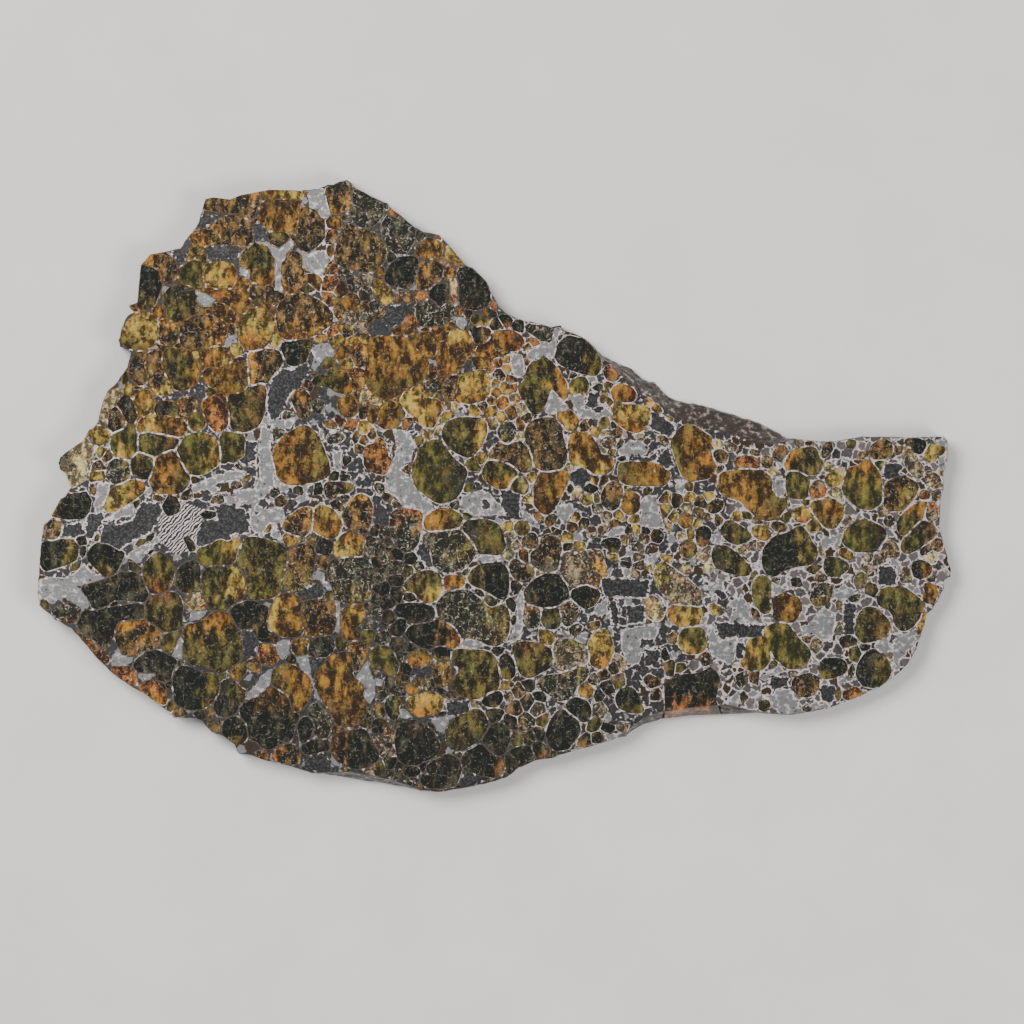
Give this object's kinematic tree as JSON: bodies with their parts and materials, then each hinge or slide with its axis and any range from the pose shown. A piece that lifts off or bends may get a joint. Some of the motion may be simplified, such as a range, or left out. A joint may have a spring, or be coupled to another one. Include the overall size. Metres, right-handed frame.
{
  "type": "pallasite meteorite slice",
  "caption": "Thin cut slice of stony-iron meteorite: an etched iron-nickel plate set with amber, olive and dark olivine crystals, with a rough natural edge.",
  "frame": {"origin": "under the middle of the slice's box, on the back face it lies on", "axes": "+X along the slice's length, +Y across it, +Z out of the cut front face"},
  "size_m": [0.16, 0.1074, 0.004],
  "materials": {
    "iron_nickel": "ground, polished and etched iron-nickel with pale grain borders",
    "olivine_brown": "clouded brown crystal, cut and polished",
    "olivine_amber": "clear amber crystal, cut and polished",
    "olivine_olive": "clear olive crystal, cut and polished",
    "olivine_golden": "clear golden crystal, cut and polished",
    "olivine_dark_olive": "clear dark olive-green crystal, cut and polished",
    "olivine_cream": "weathered cream crystal, dull",
    "olivine_yellow_green": "clear yellow-green crystal, cut and polished",
    "olivine_smoky": "smoky grey crystal full of fine fractures, polished",
    "olivine_tan": "weathered tan crystal, dull"
  },
  "bodies": {
    "root": {"metal_matrix": "iron_nickel", "olivine_top_far_west_1": "olivine_brown", "olivine_top_west_1": "olivine_brown", "olivine_top_west_2": "olivine_amber", "olivine_top_west_3": "olivine_brown", "olivine_top_west_4": "olivine_brown", "olivine_upper_far_west_1": "olivine_olive", "olivine_upper_far_west_2": "olivine_brown", "olivine_upper_far_west_3": "olivine_amber", "olivine_upper_west_1": "olivine_olive", "olivine_upper_west_2": "olivine_golden", "olivine_upper_west_3": "olivine_brown", "olivine_upper_west_4": "olivine_amber", "olivine_upper_middle_1": "olivine_olive", "olivine_upper_east_1": "olivine_dark_olive", "olivine_centre_far_west_1": "olivine_dark_olive", "olivine_centre_far_west_2": "olivine_cream", "olivine_centre_far_west_3": "olivine_amber", "olivine_centre_far_west_4": "olivine_yellow_green", "olivine_centre_west_1": "olivine_amber", "olivine_centre_middle_1": "olivine_smoky", "olivine_centre_middle_2": "olivine_yellow_green", "olivine_centre_middle_3": "olivine_olive", "olivine_centre_middle_4": "olivine_olive", "olivine_centre_middle_5": "olivine_brown", "olivine_centre_east_1": "olivine_amber", "olivine_centre_east_2": "olivine_amber", "olivine_centre_east_3": "olivine_amber", "olivine_centre_far_east_1": "olivine_amber", "olivine_centre_far_east_2": "olivine_yellow_green", "olivine_lower_far_west_1": "olivine_dark_olive", "olivine_lower_far_west_2": "olivine_dark_olive", "olivine_lower_far_west_3": "olivine_brown", "olivine_lower_far_west_4": "olivine_olive", "olivine_lower_far_west_5": "olivine_olive", "olivine_lower_far_west_6": "olivine_olive", "olivine_lower_west_1": "olivine_dark_olive", "olivine_lower_west_2": "olivine_olive", "olivine_lower_west_3": "olivine_amber", "olivine_lower_west_4": "olivine_brown", "olivine_lower_west_5": "olivine_brown", "olivine_lower_west_6": "olivine_smoky", "olivine_lower_middle_1": "olivine_smoky", "olivine_lower_middle_2": "olivine_smoky", "olivine_lower_middle_3": "olivine_olive", "olivine_lower_middle_4": "olivine_dark_olive", "olivine_lower_east_1": "olivine_tan", "olivine_lower_east_2": "olivine_tan", "olivine_lower_far_east_1": "olivine_yellow_green", "olivine_lower_far_east_2": "olivine_dark_olive", "olivine_lower_far_east_3": "olivine_olive", "olivine_bottom_far_west_1": "olivine_dark_olive", "olivine_bottom_west_1": "olivine_dark_olive", "olivine_bottom_west_2": "olivine_amber", "olivine_bottom_west_3": "olivine_amber", "olivine_bottom_west_4": "olivine_dark_olive", "olivine_bottom_middle_1": "olivine_dark_olive", "olivine_bottom_middle_2": "olivine_olive", "olivine_bottom_middle_3": "olivine_olive", "olivine_bottom_east_1": "olivine_dark_olive"}
  },
  "joints": []
}
